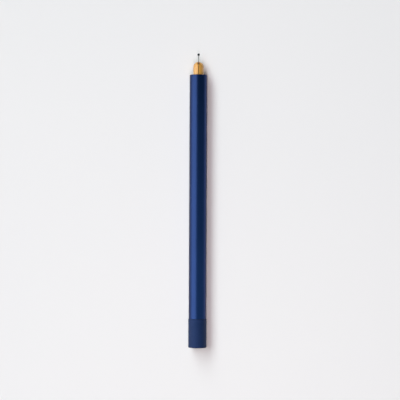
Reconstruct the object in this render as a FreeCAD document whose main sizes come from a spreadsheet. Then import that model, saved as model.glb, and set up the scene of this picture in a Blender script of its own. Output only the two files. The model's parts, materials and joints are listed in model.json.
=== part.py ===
"""A slim drawing pen that extrudes molten filament, as a FreeCAD parametric document.

The pen lies along Y with its nozzle towards +Y and rests on the plane Z = 0. Every piece is drawn in pen
coordinates first: Y counts from the flat rear end and X = Z = 0 is the centre line of the tube. piece() then
moves it to the finished frame, whose origin is below the middle of the pen. All lengths are millimetres.
"""

import FreeCAD, Part

import math
import operator
import os
from types import SimpleNamespace

import Sketcher

Vector = FreeCAD.Vector
UPRIGHT = FreeCAD.Rotation()
ALONG_Y = FreeCAD.Rotation(Vector(1, 0, 0), -90)
ALONG_X = FreeCAD.Rotation(Vector(0, 1, 0), 90)
FACING_PATH = FreeCAD.Rotation(Vector(1, 0, 0), 90)
THIRDS = (0, 120, 240)
SIDES = (-1, 1)

# Driving dimensions. _from and _to are distances from the rear end, _at is the distance of a middle, and
# _height is measured up from the centre line, so it is negative on the underside.
DRIVING = {
    # tube and dial
    "pen_length": 176.3,
    "barrel_diameter": 10.5,
    "barrel_bore": 9.5,
    "barrel_from": 17.3,
    "barrel_to": 163.45,
    "edge_break": 0.12,
    "nose_rounding": 0.35,
    "flat_from": 148.0,
    "flat_height": -5.13,
    "dial_diameter": 10.9,
    "dial_bore": 9.6,
    "dial_mouth": 10.0,
    "dial_mouth_depth": 1.25,
    "dial_rounding": 0.35,
    "running_gap": 0.1,
    # rear core with the power jack and the filament inlet
    "core_diameter": 9.46,
    "core_bore": 8.0,
    "core_to": 28.0,
    "core_flange_diameter": 9.9,
    "core_flange_to": 1.2,
    "core_plate_to": 2.6,
    "jack_height": -1.65,
    "jack_bore": 3.6,
    "jack_nose_diameter": 4.1,
    "jack_body_diameter": 4.6,
    "jack_from": 0.4,
    "jack_bore_to": 15.4,
    "jack_to": 16.4,
    "contact_width": 1.0,
    "contact_thickness": 0.2,
    "contact_from": 5.0,
    "contact_to": 17.5,
    "inlet_height": 2.5,
    "inlet_bore": 2.35,
    "inlet_mouth": 2.65,
    "inlet_throat_from": 5.0,
    "inlet_diameter": 2.9,
    "inlet_to": 6.0,
    "inlet_boss_diameter": 3.6,
    "inlet_boss_to": 12.0,
    # detent and magnet of the dial
    "detent_at": 9.0,
    "detent_ball": 1.0,
    "detent_reach": 4.9,
    "detent_boss": 2.0,
    "detent_boss_side": 2.35,
    "detent_pocket": 1.04,
    "detent_pocket_side": 2.7,
    "detent_track": 9.84,
    "detent_notch": 0.55,
    "detent_notch_reach": 5.02,
    "detent_wire": 0.12,
    "detent_coil": 0.78,
    "detent_coil_pitch": 0.3,
    "magnet_from": 13.4,
    "magnet_to": 16.4,
    "magnet_width": 1.4,
    "magnet_thickness": 0.35,
    # main board
    "board_from": 16.6,
    "board_to": 70.0,
    "board_width": 8.2,
    "board_thickness": 0.8,
    "board_height": 0.3,
    "sensor_from": 17.4,
    "sensor_side": 2.0,
    "sensor_rise": 0.7,
    "controller_from": 37.0,
    "controller_side": 4.0,
    "driver_from": 48.0,
    "driver_side": 3.2,
    "chip_rise": 0.9,
    "inductor_from": 34.0,
    "inductor_side": 4.0,
    "inductor_drop": 2.0,
    "capacitor_from": 42.0,
    "capacitor_spacing": 4.0,
    "capacitor_width": 2.5,
    "capacitor_length": 1.6,
    "capacitor_drop": 1.6,
    # carrier between the tube and the works
    "carrier_from": 28.2,
    "carrier_to": 140.8,
    "carrier_bore": 8.0,
    "rail_half_height": 2.2,
    "rear_ring": 1.8,
    "front_ring": 0.7,
    "motor_cradle_at": 79.5,
    "gearbox_cradle_at": 91.5,
    "cradle_length": 4.0,
    # wiring
    "lead_diameter": 0.44,
    "lead_side": 3.6,
    "lead_slot": 0.6,
    "lead_from": 60.0,
    "lead_turn_at": 145.6,
    "lead_end_run": 1.4,
    "motor_lead_side": 1.4,
    "motor_lead_turn_at": 70.8,
    "motor_lead_end_run": 1.2,
    "ribbon_inner": 3.2,
    "ribbon_outer": 3.3,
    "ribbon_slack": 0.05,
    "ribbon_from": 66.0,
    "ribbon_to": 128.4,
    # filament guide
    "guide_diameter": 2.8,
    "guide_bore": 2.0,
    "guide_height": 3.15,
    "guide_rise_from": 32.0,
    "guide_rise_to": 48.0,
    "guide_fall_from": 98.0,
    "guide_fall_to": 107.2,
    "feed_height": 1.4,
    # motor and gearbox
    "motor_height": -1.6,
    "motor_diameter": 6.0,
    "motor_cap_from": 74.6,
    "motor_from": 76.0,
    "motor_to": 88.0,
    "motor_wall": 0.25,
    "motor_face_from": 87.3,
    "stator_from": 77.0,
    "stator_bore": 4.2,
    "armature_from": 77.3,
    "armature_to": 86.8,
    "armature_diameter": 3.8,
    "rotor_shaft": 0.7,
    "rotor_shaft_from": 75.1,
    "rotor_pocket_from": 75.0,
    "gearbox_to": 97.0,
    "gear_room_to": 95.2,
    "gear_module": 0.15,
    "gear_face": 1.7,
    "first_stage_from": 88.6,
    "second_stage_from": 91.8,
    "carrier_disc": 3.9,
    "carrier_disc_gap": 0.2,
    "carrier_disc_thickness": 0.8,
    "planet_pin": 0.56,
    "planet_pin_inset": 0.1,
    "planet_bore": 0.64,
    "drive_shaft": 1.5,
    "drive_shaft_to": 103.0,
    "shaft_clearance": 0.03,
    # feed screw
    "coupling_from": 100.6,
    "coupling_to": 105.4,
    "coupling_diameter": 3.2,
    "frame_from": 108.8,
    "frame_to": 127.0,
    "screw_shaft_from": 103.1,
    "screw_shaft_to": 126.2,
    "screw_from": 112.8,
    "screw_to": 121.6,
    "screw_core": 4.0,
    "screw_diameter": 4.4,
    "screw_pitch": 0.8,
    "thread_root": 3.9,
    "thread_half_width": 0.25,
    "screw_room": 4.8,
    "screw_room_from": 111.4,
    "screw_room_to": 123.6,
    "bearing_diameter": 3.0,
    "bearing_length": 2.0,
    "filament_passage": 2.1,
    "rear_guide_to": 111.0,
    "front_guide_from": 125.2,
    "front_guide_turn_at": 128.8,
    "front_guide_level_at": 137.2,
    "bearing_inset": 0.2,
    "shaft_passage": 1.9,
    # idler
    "roller_at": 116.9,
    "roller_height": 3.15,
    "roller_groove": 1.9,
    "roller_rim": 2.3,
    "roller_width": 1.8,
    "roller_rim_width": 0.15,
    "axle_diameter": 0.7,
    "pivot_at": 122.5,
    "pivot_height": 3.0,
    "pivot_diameter": 0.8,
    "pivot_length": 5.0,
    "lever_width": 3.2,
    "lever_fork": 1.96,
    "lever_from": 115.8,
    "lever_to": 123.5,
    "lever_bottom": 2.45,
    "lever_top": 3.8,
    "lever_corner": 0.4,
    "lever_slope": 0.2,
    "web_from": 119.2,
    "web_to": 120.4,
    "idler_room": 3.4,
    "idler_room_from": 113.0,
    "idler_room_to": 124.4,
    "idler_room_floor": 1.9,
    "spring_height": 3.7,
    "spring_width": 1.6,
    "spring_thickness": 0.15,
    "spring_from": 119.4,
    "spring_to": 126.8,
    # buttons and status light
    "feed_button_at": 137.0,
    "retract_button_at": 129.6,
    "button_diameter": 3.8,
    "button_hole": 4.0,
    "button_face": 10.3,
    "button_flange": 4.8,
    "button_flange_height": -4.05,
    "button_inner_height": -3.6,
    "button_stem": 1.4,
    "button_stem_height": -2.98,
    "dome_base": 3.0,
    "dome_top": 1.2,
    "dome_rise": 0.45,
    "key_board_from": 127.2,
    "key_board_to": 139.9,
    "key_board_width": 6.6,
    "key_board_height": -2.0,
    "key_board_thickness": 0.5,
    "light_at": 133.3,
    "light_diameter": 1.0,
    "light_source": 0.6,
    # hot end
    "cold_plate_from": 141.0,
    "cold_plate_to": 145.0,
    "break_from": 139.8,
    "break_to": 152.0,
    "break_neck_to": 148.6,
    "break_thread": 3.2,
    "break_neck": 2.5,
    "break_nose": 3.0,
    "melt_bore": 2.0,
    "heater_from": 150.5,
    "heater_to": 157.5,
    "heater_diameter": 5.4,
    "winding_wire": 0.24,
    "winding_pitch": 0.7,
    "winding_margin": 0.5,
    "thermistor_diameter": 0.7,
    "thermistor_length": 1.3,
    "sleeve_from": 148.0,
    "sleeve_to": 158.2,
    "sleeve_bore": 6.3,
    "sleeve_diameter": 8.0,
    "collar_to": 163.15,
    "collar_bore": 6.6,
    # collet, needle and ball
    "collet_from": 148.6,
    "collet_shank": 4.0,
    "collet_shank_to": 157.8,
    "collet_neck": 4.6,
    "collet_diameter": 6.4,
    "taper_from": 160.1,
    "taper_to": 162.6,
    "dome_centre": 168.1,
    "slot_width": 0.3,
    "slot_from": 161.0,
    "relief_diameter": 1.5,
    "relief_at": 170.25,
    "mouth_depth": 0.7,
    "mouth_diameter": 1.5,
    "needle_diameter": 0.55,
    "needle_bore": 0.3,
    "needle_head_from": 155.6,
    "needle_head_to": 157.2,
    "needle_to": 175.3,
    "ball_diameter": 1.45,
    "ball_at": 175.591,
    # set screws
    "rear_screw_at": 22.3,
    "front_screw_at": 143.0,
    "set_screw_diameter": 1.56,
    "set_screw_hole": 1.7,
    "set_screw_length": 1.3,
    "set_screw_key": 0.7,
    "set_screw_key_depth": 0.6,
}

# The two equal planetary stages. Addendum and dedendum are in modules, and a share is half a tooth's
# width over the spacing of the teeth. The teeth are a little thin and short, so the gears never bind.
SUN_TEETH = 7
PLANET_TEETH = 11
RING_TEETH = 29
ADDENDUM = 0.75
DEDENDUM = 1.15
ROOT_SHARE = 0.26
TIP_SHARE = 0.12

# An arc of a bent tube takes this much of the shorter run beside it.
BEND_SHARE = 0.45

DETENT_NOTCHES = 8


class Length:
    """A length that remembers the spreadsheet expression it comes from."""

    def __init__(self, value, text=None):
        self.value = float(value)
        self.text = text or "(%s)" % self.value

    def __add__(self, other):
        return worked_out(self, other, operator.add, "+")

    def __radd__(self, other):
        return worked_out(other, self, operator.add, "+")

    def __sub__(self, other):
        return worked_out(self, other, operator.sub, "-")

    def __rsub__(self, other):
        return worked_out(other, self, operator.sub, "-")

    def __mul__(self, other):
        return worked_out(self, other, operator.mul, "*")

    def __rmul__(self, other):
        return worked_out(other, self, operator.mul, "*")

    def __truediv__(self, other):
        return worked_out(self, other, operator.truediv, "/")

    def __neg__(self):
        return worked_out(0, self, operator.sub, "-")


def as_length(number):
    return number if isinstance(number, Length) else Length(number)


def worked_out(left, right, work, sign):
    left = as_length(left)
    right = as_length(right)
    return Length(work(left.value, right.value), "(%s %s %s)" % (left.text, sign, right.text))


doc = FreeCAD.newDocument("drawing_pen")
sheet = doc.addObject("Spreadsheet::Sheet", "sizes")
for row, (alias, number) in enumerate(DRIVING.items(), start=1):
    sheet.set("A%d" % row, alias)
    sheet.set("B%d" % row, str(number))
    sheet.setAlias("B%d" % row, alias)
doc.recompute()
size = SimpleNamespace(**{alias: Length(sheet.get(alias), "sizes." + alias) for alias in DRIVING})

spots = {}
pieces = {}


# ---------------------------------------------------------------- ways of making a shape

def bind(thing, name, length):
    """Tie one property of an object to the spreadsheet."""
    thing.setExpression(name, as_length(length).text)


def put(thing, x=0, y=0, z=0, turn=UPRIGHT):
    """Place an object in pen coordinates, with every worked-out coordinate tied to the spreadsheet."""
    spot = [as_length(coordinate) for coordinate in (x, y, z)]
    spots[thing.Name] = spot
    thing.Placement = FreeCAD.Placement(Vector(*[coordinate.value for coordinate in spot]), turn)
    for axis, coordinate in zip("xyz", spot):
        if "sizes." in coordinate.text:
            bind(thing, "Placement.Base." + axis, coordinate)
    return thing


def cylinder(diameter, height):
    thing = doc.addObject("Part::Cylinder", "round_stock")
    bind(thing, "Radius", as_length(diameter) / 2)
    bind(thing, "Height", height)
    return thing


def rod(diameter, start, end, x=0, z=0):
    """A cylinder along the pen."""
    return put(cylinder(diameter, as_length(end) - start), x, start, z, ALONG_Y)


def cross_rod(diameter, left, right, y, z):
    """A cylinder across the pen, along X."""
    return put(cylinder(diameter, as_length(right) - left), left, y, z, ALONG_X)


def post(diameter, low, high, y, x=0):
    """A cylinder square to the pen, along Z."""
    return put(cylinder(diameter, as_length(high) - low), x, y, low)


def block(left, right, start, end, low, high):
    thing = doc.addObject("Part::Box", "block")
    bind(thing, "Length", as_length(right) - left)
    bind(thing, "Width", as_length(end) - start)
    bind(thing, "Height", as_length(high) - low)
    return put(thing, left, start, low)


def slab(width, start, end, low, high):
    """A block that lies evenly about the middle plane."""
    return block(-as_length(width) / 2, as_length(width) / 2, start, end, low, high)


def ring(outside, inside, start, end, z=0):
    """A plain tube along the pen."""
    return cut(rod(outside, start, end, 0, z), rod(inside, start, end, 0, z))


def cone(first_diameter, last_diameter, height):
    thing = doc.addObject("Part::Cone", "cone")
    bind(thing, "Radius1", as_length(first_diameter) / 2)
    bind(thing, "Radius2", as_length(last_diameter) / 2)
    bind(thing, "Height", height)
    return thing


def sphere(radius, x=0, y=0, z=0):
    thing = doc.addObject("Part::Sphere", "ball_stock")
    bind(thing, "Radius", radius)
    return put(thing, x, y, z)


def fuse(*things):
    thing = doc.addObject("Part::MultiFuse", "joined")
    thing.Shapes = list(things)
    thing.Refine = True
    return thing


def cut(base, *tools):
    thing = doc.addObject("Part::Cut", "cut")
    thing.Base = base
    thing.Tool = tools[0] if len(tools) == 1 else fuse(*tools)
    return thing


def common(first, second):
    thing = doc.addObject("Part::Common", "shared")
    thing.Base = first
    thing.Tool = second
    return thing


def outlined(points, plane):
    """A body with a closed sketch on one of its own planes, fully constrained from the spreadsheet."""
    body = doc.addObject("PartDesign::Body", "body")
    sketch = body.newObject("Sketcher::SketchObject", "outline")
    support = [feature for feature in body.Origin.OriginFeatures if feature.Role == plane][0]
    sketch.AttachmentSupport = [(support, "")]
    sketch.MapMode = "FlatFace"
    corners = [(as_length(across), as_length(up)) for across, up in points]
    vectors = [Vector(across.value, up.value, 0) for across, up in corners]
    for start, end in zip(vectors, vectors[1:] + vectors[:1]):
        sketch.addGeometry(Part.LineSegment(start, end), False)
    for number, corner in enumerate(corners):
        sketch.addConstraint(Sketcher.Constraint("Coincident", number, 2, (number + 1) % len(corners), 1))
        for kind, axis, distance in zip(("DistanceX", "DistanceY"), (-2, -1), corner):
            if distance.value == 0:
                sketch.addConstraint(Sketcher.Constraint("PointOnObject", number, 1, axis))
                continue
            index = sketch.addConstraint(Sketcher.Constraint(kind, -1, 1, number, 1, distance.value))
            bind(sketch, "Constraints[%d]" % index, distance)
    doc.recompute()
    return body, sketch


def turned(profile, x=0, z=0):
    """A piece turned about an axis along the pen. The profile lists (distance from the rear, diameter)."""
    body, sketch = outlined([(as_length(diameter) / 2, along) for along, diameter in profile], "XY_Plane")
    revolution = body.newObject("PartDesign::Revolution", "turned")
    revolution.Profile = sketch
    revolution.ReferenceAxis = (sketch, ["V_Axis"])
    revolution.Angle = 360
    doc.recompute()
    return put(body, x, 0, z)


def plate(profile, width):
    """A piece with a side outline of (distance from the rear, height), padded evenly to both sides."""
    body, sketch = outlined(profile, "YZ_Plane")
    pad = body.newObject("PartDesign::Pad", "padded")
    pad.Profile = sketch
    bind(pad, "Length", width)
    pad.Midplane = True
    doc.recompute()
    return put(body)


def round_rims(body, radius, *rims):
    """Round the circular edges of a turned body that lie at the given (distance, diameter) pairs."""
    before = body.Tip
    chosen = []
    for index, edge in enumerate(before.Shape.Edges, start=1):
        if not isinstance(edge.Curve, Part.Circle):
            continue
        for along, diameter in rims:
            same_place = abs(edge.Curve.Center.y - as_length(along).value) < 1e-6
            same_size = abs(2 * edge.Curve.Radius - as_length(diameter).value) < 1e-6
            if same_place and same_size:
                chosen.append("Edge%d" % index)
    fillet = body.newObject("PartDesign::Fillet", "rounded")
    fillet.Base = (before, chosen)
    bind(fillet, "Radius", radius)
    doc.recompute()
    return body


def coil(mean_diameter, wire_diameter, pitch, height):
    """A helix of round wire that starts at the origin and climbs along Z."""
    helix = doc.addObject("Part::Helix", "coil_path")
    bind(helix, "Pitch", pitch)
    bind(helix, "Height", height)
    bind(helix, "Radius", as_length(mean_diameter) / 2)
    section = doc.addObject("Part::Circle", "coil_section")
    bind(section, "Radius", as_length(wire_diameter) / 2)
    put(section, x=as_length(mean_diameter) / 2, turn=FACING_PATH)
    sweep = doc.addObject("Part::Sweep", "coil")
    sweep.Sections = [section]
    sweep.Spine = (helix, ["Edge1"])
    sweep.Solid = True
    sweep.Frenet = True
    return sweep


def shaped(shape):
    thing = doc.addObject("Part::Feature", "shaped")
    thing.Shape = shape
    return thing


def bent_path(points):
    """A wire through the points: straight runs joined by tangent arcs as large as the runs allow."""
    edges = []
    start = points[0]
    for before, corner, after in zip(points, points[1:], points[2:]):
        back = before - corner
        ahead = after - corner
        reach = BEND_SHARE * min(back.Length, ahead.Length)
        back.normalize()
        ahead.normalize()
        inward = back + ahead
        inward.normalize()
        half_turn = (math.pi - back.getAngle(ahead)) / 2
        radius = reach / math.tan(half_turn)
        entry = corner + back * reach
        leave = corner + ahead * reach
        middle = corner + inward * (math.hypot(radius, reach) - radius)
        edges.append(Part.LineSegment(start, entry).toShape())
        edges.append(Part.Arc(entry, middle, leave).toShape())
        start = leave
    edges.append(Part.LineSegment(start, points[-1]).toShape())
    return Part.Wire(edges)


def swept(points, diameter):
    """A round section carried along a bent path."""
    path = bent_path(points)
    section = Part.makeCircle(diameter.value / 2, points[0], points[1] - points[0])
    return path.makePipeShell([Part.Wire([section])], True, True)


def path_point(x, y, z):
    return Vector(*[as_length(coordinate).value for coordinate in (x, y, z)])


def around(angle, radius, y, z):
    """A point at an angle about an axis along the pen, counted from +Z towards +X."""
    return Vector(radius * math.sin(angle), y, z + radius * math.cos(angle))


def lobed(lobes, inner_radius, outer_radius, inner_share, outer_share, first_angle, y, z, depth):
    """A prism along the pen with straight-sided lobes. A share is half a lobe's width over its spacing."""
    spacing = 2 * math.pi / lobes
    corners = []
    for lobe in range(lobes):
        middle = first_angle + lobe * spacing
        corners.append(around(middle - inner_share * spacing, inner_radius, y, z))
        corners.append(around(middle - outer_share * spacing, outer_radius, y, z))
        corners.append(around(middle + outer_share * spacing, outer_radius, y, z))
        corners.append(around(middle + inner_share * spacing, inner_radius, y, z))
    outline = Part.makePolygon(corners + corners[:1])
    return Part.Face(outline).extrude(Vector(0, depth, 0))


def piece(name, thing):
    """Name a finished piece and move it from pen coordinates to the finished frame."""
    x, y, z = spots.get(thing.Name, (Length(0), Length(0), Length(0)))
    put(thing, x, y - size.pen_length / 2, z + size.dial_diameter / 2, thing.Placement.Rotation)
    thing.Label = name
    pieces[name] = thing
    return thing


# ---------------------------------------------------------------- hollows shared by several pieces

def lead_slots(start, end):
    """Room for the two heater leads."""
    height = size.board_height + size.lead_diameter / 2
    return [rod(size.lead_slot, start, end, side * size.lead_side, height) for side in SIDES]


def ribbon_slot(start, end):
    """Room for the flat ribbon between the two boards."""
    slack = size.ribbon_slack
    low = size.key_board_height - slack
    high = size.board_height - size.board_thickness + slack
    return block(-size.ribbon_outer - slack, -size.ribbon_inner + slack, start, end, low, high)


def board_slot(start, end):
    return slab(size.board_width, start, end, size.board_height - size.board_thickness, size.board_height)


def underside_hole(diameter, y):
    """A drill through the lower wall of the tube and of whatever lines it."""
    return post(diameter, -size.barrel_diameter, -size.barrel_diameter / 4, y)


# ---------------------------------------------------------------- tube, dial and rear end

def make_barrel():
    tube = turned([
        (size.barrel_from, size.barrel_bore),
        (size.barrel_from, size.barrel_diameter),
        (size.barrel_to, size.barrel_diameter),
        (size.barrel_to, size.barrel_bore),
    ])
    round_rims(tube, size.edge_break, (size.barrel_from, size.barrel_diameter))
    round_rims(tube, size.nose_rounding, (size.barrel_to, size.barrel_diameter))
    holes = [
        underside_hole(size.button_hole, size.feed_button_at),
        underside_hole(size.button_hole, size.retract_button_at),
        underside_hole(size.light_diameter, size.light_at),
        underside_hole(size.set_screw_hole, size.rear_screw_at),
        underside_hole(size.set_screw_hole, size.front_screw_at),
    ]
    # a shallow flat under the front end, which keeps the pen from rolling on a table
    flat = slab(size.barrel_diameter, size.flat_from, size.pen_length, -size.barrel_diameter, size.flat_height)
    piece("barrel", cut(tube, *holes, flat))


def make_speed_dial():
    dial_to = size.barrel_from - size.running_gap
    sleeve = turned([
        (size.running_gap, size.dial_mouth),
        (size.running_gap, size.dial_diameter),
        (dial_to, size.dial_diameter),
        (dial_to, size.dial_bore),
        (size.dial_mouth_depth, size.dial_bore),
        (size.dial_mouth_depth, size.dial_mouth),
    ])
    round_rims(sleeve, size.dial_rounding, (size.running_gap, size.dial_diameter))
    round_rims(sleeve, size.edge_break, (dial_to, size.dial_diameter))
    track = rod(
        size.detent_track, size.detent_at - size.detent_notch / 2, size.detent_at + size.detent_notch / 2)
    notch_circle = size.detent_notch_reach.value - size.detent_notch.value
    notches = []
    for notch in range(DETENT_NOTCHES):
        spot = around(2 * math.pi * notch / DETENT_NOTCHES, notch_circle, size.detent_at.value, 0)
        notches.append(sphere(size.detent_notch, spot.x, size.detent_at, spot.z))
    magnet_low = size.dial_bore / 2
    pocket = slab(
        size.magnet_width, size.magnet_from, size.magnet_to, magnet_low - size.magnet_thickness,
        magnet_low + size.magnet_thickness)
    piece("speed_dial", cut(sleeve, track, pocket, *notches))
    magnet = slab(
        size.magnet_width, size.magnet_from, size.magnet_to, magnet_low, magnet_low + size.magnet_thickness)
    piece("dial_magnet", magnet)


def make_rear_core():
    shell = turned([
        (0, 0),
        (0, size.core_flange_diameter),
        (size.core_flange_to, size.core_flange_diameter),
        (size.core_flange_to, size.core_diameter),
        (size.barrel_from, size.core_diameter),
        (size.barrel_from, size.barrel_bore),
        (size.core_to, size.barrel_bore),
        (size.core_to, size.core_bore),
        (size.core_plate_to, size.core_bore),
        (size.core_plate_to, 0),
    ])
    wall_middle = (size.core_diameter + size.core_bore) / 4
    inlet_boss = rod(size.inlet_boss_diameter, 0, size.inlet_boss_to, 0, size.inlet_height)
    detent_boss = cross_rod(size.detent_boss, size.detent_boss_side, wall_middle, size.detent_at, 0)
    solid = fuse(shell, inlet_boss, detent_boss)
    hollows = [
        rod(size.jack_nose_diameter, 0, size.core_plate_to, 0, size.jack_height),
        rod(size.inlet_diameter, 0, size.inlet_boss_to, 0, size.inlet_height),
        cross_rod(size.detent_pocket, size.detent_pocket_side, size.core_flange_diameter, size.detent_at, 0),
        board_slot(size.board_from, size.core_to),
        underside_hole(size.set_screw_diameter, size.rear_screw_at),
    ]
    piece("rear_core", cut(solid, *hollows))


def make_detent():
    ball_side = size.detent_reach - size.detent_ball / 2
    piece("detent_ball", sphere(size.detent_ball / 2, ball_side, size.detent_at, 0))
    # The last turn of the wire just touches the back of the ball.
    touching = (size.detent_ball.value + size.detent_wire.value) / 2
    seat = math.sqrt(touching ** 2 - (size.detent_coil.value / 2) ** 2)
    first_turn = size.detent_pocket_side + size.detent_wire / 2
    spring = coil(size.detent_coil, size.detent_wire, size.detent_coil_pitch, ball_side - seat - first_turn)
    put(spring, first_turn, size.detent_at, 0, ALONG_X)
    piece("detent_spring", spring)


def make_filament_inlet():
    outside = rod(size.inlet_diameter, 0, size.inlet_to, 0, size.inlet_height)
    bore = rod(size.inlet_bore, 0, size.inlet_throat_from, 0, size.inlet_height)
    chamfer = cone(size.inlet_mouth, size.inlet_bore, (size.inlet_mouth - size.inlet_bore) / 2)
    put(chamfer, 0, 0, size.inlet_height, ALONG_Y)
    throat = cone(size.inlet_bore, size.guide_bore, size.inlet_to - size.inlet_throat_from)
    put(throat, 0, size.inlet_throat_from, size.inlet_height, ALONG_Y)
    piece("filament_inlet_bush", cut(outside, bore, chamfer, throat))


def contact_blocks(start, end, high, extra=0):
    """Blocks where the jack's two flat contacts lie, made extra thick towards the bore for their slots."""
    inner = size.jack_bore / 2 - extra
    outer = size.jack_bore / 2 + size.contact_thickness
    low = size.jack_height - size.contact_width / 2
    return [block(inner, outer, start, end, low, high), block(-outer, -inner, start, end, low, high)]


def make_power_jack():
    body = fuse(
        rod(size.jack_nose_diameter, size.jack_from, size.core_plate_to, 0, size.jack_height),
        rod(size.jack_body_diameter, size.core_plate_to, size.jack_to, 0, size.jack_height))
    bore = rod(size.jack_bore, size.jack_from, size.jack_bore_to, 0, size.jack_height)
    high = size.jack_height + size.contact_width / 2
    slots = contact_blocks(size.contact_from, size.jack_bore_to, high, size.contact_thickness)
    exits = contact_blocks(size.jack_bore_to, size.jack_to, high)
    piece("power_jack_body", cut(body, bore, *slots, *exits))
    blades = contact_blocks(size.contact_from, size.contact_to, high)
    tails = contact_blocks(size.jack_to, size.contact_to, size.board_height - size.board_thickness)
    piece("jack_contacts", fuse(*blades, *tails))


# ---------------------------------------------------------------- electronics

def square_chip(side, start, low, high):
    return slab(side, start, start + side, low, high)


def make_main_board():
    top = size.board_height
    bottom = size.board_height - size.board_thickness
    piece("main_board", board_slot(size.board_from, size.board_to))
    piece("board_chips", fuse(
        square_chip(size.sensor_side, size.sensor_from, top, top + size.sensor_rise),
        square_chip(size.controller_side, size.controller_from, top, top + size.chip_rise),
        square_chip(size.driver_side, size.driver_from, top, top + size.chip_rise)))
    inductor = square_chip(size.inductor_side, size.inductor_from, bottom - size.inductor_drop, bottom)
    piece("power_inductor", inductor)
    capacitors = []
    for number in range(3):
        start = size.capacitor_from + number * size.capacitor_spacing
        capacitors.append(slab(
            size.capacitor_width, start, start + size.capacitor_length, bottom - size.capacitor_drop, bottom))
    piece("filter_capacitors", fuse(*capacitors))


def make_key_board():
    low = size.key_board_height - size.key_board_thickness
    board = slab(size.key_board_width, size.key_board_from, size.key_board_to, low, size.key_board_height)
    piece("key_board", board)
    for name, at in (("feed_dome", size.feed_button_at), ("retract_dome", size.retract_button_at)):
        dome = cone(size.dome_top, size.dome_base, size.dome_rise)
        piece(name, put(dome, 0, at, low - size.dome_rise))
    piece("status_light", square_chip(
        size.light_diameter, size.light_at - size.light_diameter / 2, low - size.light_source, low))
    pipe = post(size.light_diameter, -size.barrel_diameter / 2, low - size.light_source, size.light_at)
    face = rod(size.button_face, size.light_at - size.light_diameter, size.light_at + size.light_diameter)
    piece("light_pipe", common(pipe, face))


def make_button(name, at):
    cap = post(size.button_diameter, -size.barrel_diameter / 2, size.button_inner_height, at)
    curved = common(cap, rod(size.button_face, at - size.button_diameter, at + size.button_diameter))
    flange = post(size.button_flange, size.button_flange_height, size.button_inner_height, at)
    stem = post(size.button_stem, size.button_inner_height, size.button_stem_height, at)
    piece(name, fuse(curved, flange, stem))


def make_wiring():
    height = size.board_height + size.lead_diameter / 2
    heater_leads = []
    motor_leads = []
    motor_lead_level_at = size.motor_cap_from - size.motor_lead_end_run
    bottom = size.board_height - size.board_thickness - size.lead_diameter / 2
    ring_middle = (size.collet_shank + size.heater_diameter) / 4
    for side in SIDES:
        heater_leads.append(shaped(swept([
            path_point(side * size.lead_side, size.lead_from, height),
            path_point(side * size.lead_side, size.lead_turn_at, height),
            path_point(side * ring_middle, size.heater_from - size.lead_end_run, height),
            path_point(side * ring_middle, size.heater_from, height),
        ], size.lead_diameter)))
        motor_leads.append(shaped(swept([
            path_point(side * size.motor_lead_side, size.ribbon_from, bottom),
            path_point(side * size.motor_lead_side, size.motor_lead_turn_at, bottom),
            path_point(side * size.motor_lead_side, motor_lead_level_at, size.motor_height),
            path_point(side * size.motor_lead_side, size.motor_cap_from, size.motor_height),
        ], size.lead_diameter)))
    piece("heater_leads", fuse(*heater_leads))
    piece("motor_leads", fuse(*motor_leads))
    ribbon = block(
        -size.ribbon_outer, -size.ribbon_inner, size.ribbon_from, size.ribbon_to, size.key_board_height,
        size.board_height - size.board_thickness)
    piece("key_ribbon", ribbon)


# ---------------------------------------------------------------- carrier and filament guide

def make_inner_carrier():
    tube = turned([
        (size.carrier_from, size.carrier_bore),
        (size.carrier_from, size.barrel_bore),
        (size.carrier_to, size.barrel_bore),
        (size.carrier_to, size.carrier_bore),
    ])
    start = size.carrier_from
    end = size.carrier_to
    rails = common(tube, slab(
        size.barrel_diameter, start, end, -size.rail_half_height, size.rail_half_height))
    rear_ring = ring(size.barrel_bore, size.carrier_bore, start, start + size.rear_ring)
    front_ring = ring(size.barrel_bore, size.carrier_bore, end - size.front_ring, end)
    cradles = []
    for middle in (size.motor_cradle_at, size.gearbox_cradle_at):
        start = middle - size.cradle_length / 2
        end = middle + size.cradle_length / 2
        hollows = [
            rod(size.motor_diameter, start, end, 0, size.motor_height),
            rod(size.guide_diameter, start, end, 0, size.guide_height),
            ribbon_slot(start, end),
        ]
        cradles.append(cut(rod(size.barrel_bore, start, end), *hollows, *lead_slots(start, end)))
    whole = fuse(rails, rear_ring, front_ring, *cradles)
    piece("inner_carrier", cut(whole, board_slot(size.carrier_from, size.board_to)))


def guide_tube(points):
    outside = swept(points, size.guide_diameter)
    inside = swept(points, size.guide_bore)
    return shaped(outside.cut(inside))


def make_guide_tubes():
    piece("rear_guide_tube", guide_tube([
        path_point(0, size.inlet_to, size.inlet_height),
        path_point(0, size.guide_rise_from, size.inlet_height),
        path_point(0, size.guide_rise_to, size.guide_height),
        path_point(0, size.guide_fall_from, size.guide_height),
        path_point(0, size.guide_fall_to, size.feed_height),
        path_point(0, size.rear_guide_to, size.feed_height),
    ]))
    piece("front_guide_tube", guide_tube([
        path_point(0, size.front_guide_from, size.feed_height),
        path_point(0, size.front_guide_turn_at, size.feed_height),
        path_point(0, size.front_guide_level_at, 0),
        path_point(0, size.break_from, 0),
    ]))


# ---------------------------------------------------------------- motor and gearbox

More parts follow.
